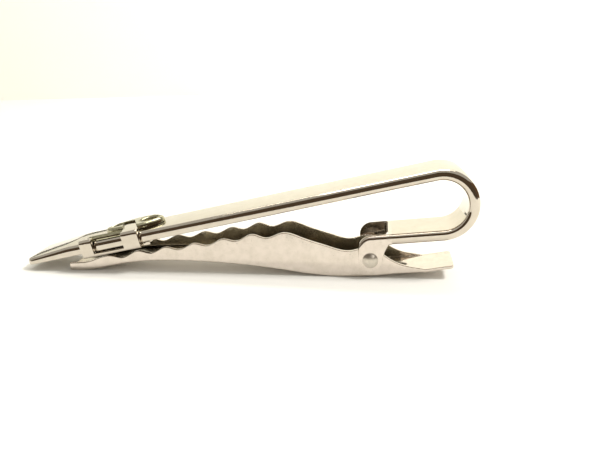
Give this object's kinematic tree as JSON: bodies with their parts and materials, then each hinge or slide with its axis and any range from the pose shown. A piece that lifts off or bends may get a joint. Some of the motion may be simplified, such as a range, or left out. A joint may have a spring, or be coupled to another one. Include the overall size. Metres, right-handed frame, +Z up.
{
  "type": "tie clip",
  "caption": "Alligator-jaw tie clip: folded front bar, sprung toothed jaw on a riveted fork, and a slide-on pierced ornament near the bar's tip.",
  "frame": {"origin": "bottom centre of the closed clip's box: on the table that the jaw lies on, halfway along the clip, in the plane of symmetry of bar and jaw", "axes": "+X from the tip of the bar to the U-bend, +Z up from the table, Y across the bar"},
  "size_m": [0.057, 0.0074, 0.0135],
  "materials": {
    "plated_bar": "mirror-polished plating",
    "plated_sheet": "polished plating on pressed sheet, slightly soft",
    "rivet_steel": "satin, peened head",
    "spring_steel": "drawn wire, oiled",
    "slide_plating": "polished plating",
    "ornament_plating": "polished plating, darkened in the grooves"
  },
  "bodies": {
    "bar": {"front_bar": "plated_bar", "hinge_fork": "plated_sheet", "pivot_rivet": "rivet_steel", "torsion_spring": "spring_steel"},
    "jaw": {"jaw": "plated_sheet"},
    "ornament": {"slide_carrier": "slide_plating", "grooved_rail": "ornament_plating", "pierced_oval": "ornament_plating"}
  },
  "joints": [
    {"name": "jaw_hinge", "type": "hinge", "parent": "bar", "child": "jaw", "pos_m": [0.016, 0, 0.00243], "axis": [0, -1, 0], "range_deg": [0, 16], "stiffness_Nm_per_rad": 0.08, "springref_deg": -28.65, "deforming": ["torsion_spring"]},
    {"name": "ornament_slide", "type": "slide", "parent": "bar", "child": "ornament", "axis": [0.9763, 0, 0.2164], "range_m": [-0.006, 0.032]}
  ]
}
